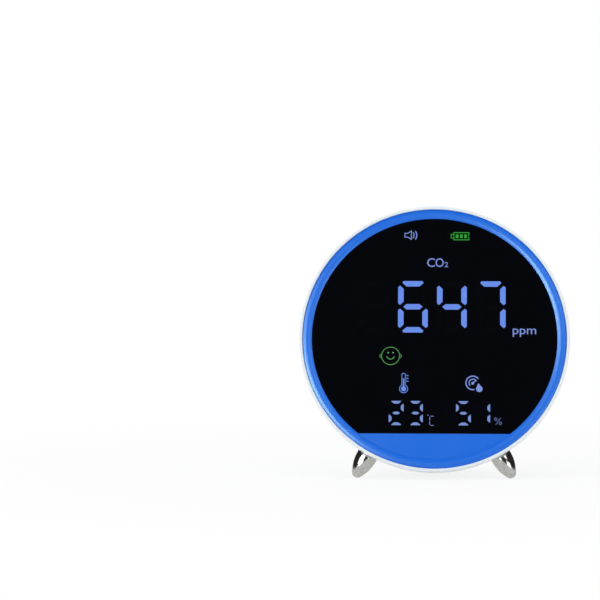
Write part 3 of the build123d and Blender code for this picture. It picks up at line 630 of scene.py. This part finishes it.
def build_casing():
    white = white_casing()
    chrome = satin_chrome()
    smooth_piece("housing", "casing_bowl", white)
    smooth_piece("rear_cover", "casing_rear_cover", white)
    smooth_piece("front_bezel", "blue_ring_and_chin", blue_bezel())
    smooth_piece("lens", "display_window", smoked_window())
    for side in ("left", "right"):
        smooth_piece(f"{side}_leg", f"{side}_chrome_leg", chrome)
    smooth_piece("rear_foot", "rear_rubber_pad", clear_rubber())
    key_white = dyed("white_key_plastic", (228, 232, 235), 0.32, 12)
    for key in ("power", "mode", "alarm"):
        smooth_piece(f"{key}_button", f"{key}_key_cap", key_white, f"{key}_key")
    smooth_piece("usb_shell", "socket_shell", zinc_steel("socket_steel", (176, 178, 182)))
    smooth_piece("case_screws", "cover_screws", zinc_steel())
    smooth_piece("vent_gauze", "vent_mesh", wire_gauze())


def dress_the_inside():
    """Finishes for what sits behind the shell, seen through vent and socket."""
    steel = zinc_steel("inner_screw_steel", (180, 182, 188))
    black = moulded_black()
    green = board_green()
    ivory = dyed("ivory_nylon", (226, 220, 200), 0.42, 5)
    finishes = {
        "lens_tape": dyed("black_tape", (18, 18, 19), 0.6, 5),
        "display_film": dyed("diffusing_film", (222, 226, 230), 0.6, 8),
        "display_reflector": dyed("white_light_box", (232, 233, 233), 0.5, 6),
        "display_leds": dyed("led_resin", (236, 226, 176), 0.3, 1.2),
        "display_board": green, "main_board": green, "co2_sensor_board": green,
        "display_chips": black, "main_board_chips": black, "buzzer": black,
        "climate_sensor": black, "switch_bodies": black, "usb_contacts": black,
        "display_screws": steel, "bezel_screws": steel, "main_board_screws": steel,
        "leg_screws": steel,
        "ribbon_sockets": ivory, "battery_socket": ivory,
        "ribbon_cable": dyed("white_flat_cable", (214, 216, 218), 0.45, 6),
        "battery_cell": dyed("silver_cell_foil", (178, 181, 186), 0.34, 7, metal=0.6),
        "battery_pad": dyed("grey_foam_pad", (70, 71, 73), 0.85, 1.5),
        "battery_lead_red": dyed("red_lead", (176, 30, 28), 0.4, 5),
        "battery_lead_black": dyed("black_lead", (24, 24, 25), 0.42, 5),
        "co2_sensor_pins": dyed("gilt_pins", (206, 176, 96), 0.25, 2, metal=1.0),
        "co2_sensor_can": dyed("gilt_sensor_can", (206, 178, 104), 0.3, 4, metal=1.0),
        "co2_sensor_filter": dyed("white_membrane", (228, 229, 228), 0.8, 0.8),
        "power_plunger": black, "mode_plunger": black, "alarm_plunger": black,
    }
    for node, finish in finishes.items():
        dress(node, finish)


# --------------------------------------------------------------- studio

CAMERA_DISTANCE = 1.6
CAMERA_RISE = 3.5                # degrees above the rim's middle
CAMERA_ROLL = 0.2                # degrees
SENSOR_WIDTH = 36
PICTURE_WIDTH = 600
SCALE_AT_RIM = 2.461             # picture width units per millimetre at the rim
OFF_CENTRE = (134.5, 37.95)      # rim's middle, right of and below the middle

ROOM_LIGHT = 0.62                # plain light of the room on every surface
CEILING_EDGE = (-0.02, 0.10)     # height, as a sine, over which the walls turn dark
CEILING_LIGHT = 0.03
FLOOR_REACH = 3.0                # metres from the middle to the floor's edges
FLOOR_COLOUR = (0.86, 0.87, 0.88, 1)
FLOOR_FADE = (0.05, 0.35)        # metres from the middle over which the floor turns white
FLOOR_WHITENESS = 0.85           # share of plain white at the middle
WHITE = (1, 1, 1, 1)

# Softboxes: name, place, width and height, and watts. They all face MID_HEIGHT.
MID_HEIGHT = (0, 0, 0.055)
ROOM_SOFTBOXES = [
    ("key_softbox", (-1.0, -0.55, 0.55), (0.7, 1.0), 5.4),
    ("fill_softbox", (1.1, -0.5, 0.5), (0.5, 0.8), 2.6),
    ("top_softbox", (0.0, 0.1, 1.3), (1.0, 0.8), 4.0),
]
SHEEN_SOFTBOXES = [
    ("left_sheen_softbox", (-0.525, -0.779, 0.397), (0.72, 0.38), 5.2),
    ("low_sheen_softbox", (-0.50, -0.85, 0.20), (0.50, 0.30), 6.7),
    ("right_sheen_softbox", (0.387, -0.760, 0.577), (0.554, 0.299), 1.5),
    ("low_right_sheen_softbox", (0.613, -0.785, 0.142), (0.52, 0.26), 1.35),
]


def set_camera():
    """Camera straight ahead, aimed so that the monitor sits low and to the right."""
    rise = math.radians(CAMERA_RISE)
    towards = Vector((0, -math.cos(rise), math.sin(rise)))
    focal = SCALE_AT_RIM * CAMERA_DISTANCE / MM
    lens = bpy.data.cameras.new("studio_camera")
    lens.sensor_width = SENSOR_WIDTH
    lens.lens = focal * SENSOR_WIDTH / PICTURE_WIDTH
    lens.clip_start = 0.01
    camera = bpy.data.objects.new("studio_camera", lens)
    bpy.context.scene.collection.objects.link(camera)
    camera.location = RIM + towards * CAMERA_DISTANCE
    level = (-towards).to_track_quat("-Z", "Y").to_matrix()
    roll = Matrix.Rotation(math.radians(CAMERA_ROLL), 3, "Z")
    aside = Matrix.Rotation(math.atan(OFF_CENTRE[0] / focal), 3, "Y")
    down = Matrix.Rotation(math.atan(OFF_CENTRE[1] / focal), 3, "X")
    camera.rotation_euler = (level @ roll @ down @ aside).to_euler()
    bpy.context.scene.camera = camera


def softbox(name, place, size, power):
    """A soft lamp that faces the monitor and isn't seen itself."""
    lamp = bpy.data.lights.new(name, "AREA")
    lamp.shape = "RECTANGLE"
    lamp.size, lamp.size_y = size
    lamp.energy = power
    holder = bpy.data.objects.new(name, lamp)
    bpy.context.scene.collection.objects.link(holder)
    holder.location = place
    aim = Vector(MID_HEIGHT) - Vector(place)
    holder.rotation_euler = aim.to_track_quat("-Z", "Y").to_euler()
    holder.visible_camera = False
    return holder


def ring_and_legs():
    """The only pieces that the sheen softboxes shine on."""
    group = bpy.data.collections.new("ring_and_legs")
    for name in ("blue_ring_and_chin", "left_chrome_leg", "right_chrome_leg"):
        group.objects.link(bpy.data.objects[name])
    return group


def shown_share(nodes, links):
    """One where a ray shows the floor as it is, nought where it only lights."""
    path = nodes.new("ShaderNodeLightPath")
    first = nodes.new("ShaderNodeMath")
    first.operation = "MAXIMUM"
    links.new(path.outputs["Is Camera Ray"], first.inputs[0])
    links.new(path.outputs["Is Glossy Ray"], first.inputs[1])
    both = nodes.new("ShaderNodeMath")
    both.operation = "MAXIMUM"
    links.new(first.outputs[0], both.inputs[0])
    links.new(path.outputs["Is Transmission Ray"], both.inputs[1])
    return both.outputs[0]


def set_world():
    """White to look at. Polished parts see a white room under a dark ceiling."""
    world = bpy.data.worlds.new("studio_air")
    bpy.context.scene.world = world
    world.use_nodes = True
    nodes, links = world.node_tree.nodes, world.node_tree.links
    path = nodes.new("ShaderNodeLightPath")
    place = nodes.new("ShaderNodeTexCoord")
    height = nodes.new("ShaderNodeSeparateXYZ")
    links.new(place.outputs["Generated"], height.inputs[0])
    ceiling = nodes.new("ShaderNodeMapRange")
    ceiling.interpolation_type = "SMOOTHSTEP"
    ceiling.inputs["From Min"].default_value = CEILING_EDGE[0]
    ceiling.inputs["From Max"].default_value = CEILING_EDGE[1]
    ceiling.inputs["To Min"].default_value = 1.0
    ceiling.inputs["To Max"].default_value = CEILING_LIGHT
    links.new(height.outputs["Z"], ceiling.inputs["Value"])
    reflected = nodes.new("ShaderNodeMix")
    links.new(path.outputs["Is Glossy Ray"], reflected.inputs[0])
    reflected.inputs[2].default_value = ROOM_LIGHT
    links.new(ceiling.outputs["Result"], reflected.inputs[3])
    seen = nodes.new("ShaderNodeMath")
    seen.operation = "MAXIMUM"
    links.new(path.outputs["Is Camera Ray"], seen.inputs[0])
    links.new(path.outputs["Is Transmission Ray"], seen.inputs[1])
    strength = nodes.new("ShaderNodeMix")
    links.new(seen.outputs[0], strength.inputs[0])
    links.new(reflected.outputs[0], strength.inputs[2])
    strength.inputs[3].default_value = 1.0
    air = nodes["Background"]
    air.inputs["Color"].default_value = WHITE
    links.new(strength.outputs[0], air.inputs["Strength"])


def set_floor():
    """Pale floor that keeps the monitor's shadow and turns into the white beyond it."""
    bm = bmesh.new()
    bmesh.ops.create_grid(bm, x_segments=1, y_segments=1, size=FLOOR_REACH)
    mesh = bpy.data.meshes.new("pale_floor")
    bm.to_mesh(mesh)
    bm.free()
    floor = bpy.data.objects.new("pale_floor", mesh)
    bpy.context.scene.collection.objects.link(floor)
    paper = bpy.data.materials.new("pale_floor_paper")
    paper.use_nodes = True
    nodes, links = paper.node_tree.nodes, paper.node_tree.links
    sheet = nodes["Principled BSDF"]
    sheet.inputs["Base Color"].default_value = FLOOR_COLOUR
    sheet.inputs["Roughness"].default_value = 0.9
    sheet.inputs["Specular IOR Level"].default_value = 0.1
    glow = nodes.new("ShaderNodeEmission")
    glow.inputs["Color"].default_value = WHITE
    mix = nodes.new("ShaderNodeMixShader")
    place = nodes.new("ShaderNodeTexCoord")
    distance = nodes.new("ShaderNodeVectorMath")
    distance.operation = "LENGTH"
    links.new(place.outputs["Object"], distance.inputs[0])
    whiteness = nodes.new("ShaderNodeMapRange")
    whiteness.interpolation_type = "SMOOTHSTEP"
    whiteness.inputs["From Min"].default_value = FLOOR_FADE[0]
    whiteness.inputs["From Max"].default_value = FLOOR_FADE[1]
    whiteness.inputs["To Min"].default_value = FLOOR_WHITENESS
    whiteness.inputs["To Max"].default_value = 1.0
    links.new(distance.outputs["Value"], whiteness.inputs["Value"])
    share = nodes.new("ShaderNodeMath")
    share.operation = "MULTIPLY"
    links.new(whiteness.outputs["Result"], share.inputs[0])
    links.new(shown_share(nodes, links), share.inputs[1])
    links.new(share.outputs[0], mix.inputs[0])
    links.new(sheet.outputs[0], mix.inputs[1])
    links.new(glow.outputs[0], mix.inputs[2])
    links.new(mix.outputs[0], nodes["Material Output"].inputs["Surface"])
    mesh.materials.append(paper)


def build_studio():
    set_world()
    set_floor()
    for row in ROOM_SOFTBOXES:
        softbox(*row).visible_glossy = False
    polished = ring_and_legs()
    for row in SHEEN_SOFTBOXES:
        lamp = softbox(*row)
        lamp.visible_diffuse = False
        lamp.light_linking.receiver_collection = polished
    set_camera()
    bpy.context.scene.view_settings.view_transform = "Standard"


build_casing()
dress_the_inside()
build_display()
build_studio()
